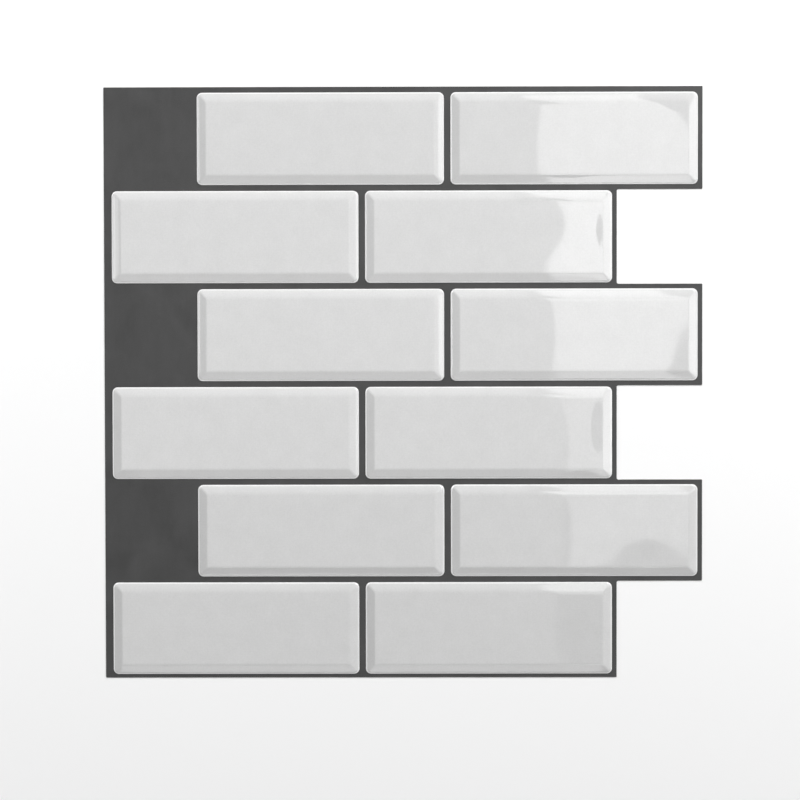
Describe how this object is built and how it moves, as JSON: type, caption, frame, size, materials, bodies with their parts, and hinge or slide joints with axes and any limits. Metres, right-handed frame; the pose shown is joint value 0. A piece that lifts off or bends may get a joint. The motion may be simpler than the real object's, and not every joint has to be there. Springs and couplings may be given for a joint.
{
  "type": "peel and stick backsplash tile",
  "caption": "Peel-and-stick backsplash sheet: bevelled gel tiles in running bond on a dark grout film, with stepped edge, overlap flaps and release liner.",
  "frame": {"origin": "centre of the sheet's underside, at the bottom of its bounding box", "axes": "+Z out of the tiles' faces; +X along the courses, towards the stepped edge; +Y up the wall"},
  "size_m": [0.3064, 0.303, 0.0021],
  "materials": {
    "liner": "satin",
    "film": "satin",
    "tile": "gloss"
  },
  "bodies": {
    "root": {"release_liner": "liner", "backing_film": "film", "tile_row1_1": "tile", "tile_row1_2": "tile", "tile_row2_1": "tile", "tile_row2_2": "tile", "tile_row3_1": "tile", "tile_row3_2": "tile", "tile_row4_1": "tile", "tile_row4_2": "tile", "tile_row5_1": "tile", "tile_row5_2": "tile", "tile_row6_1": "tile", "tile_row6_2": "tile"}
  },
  "joints": []
}
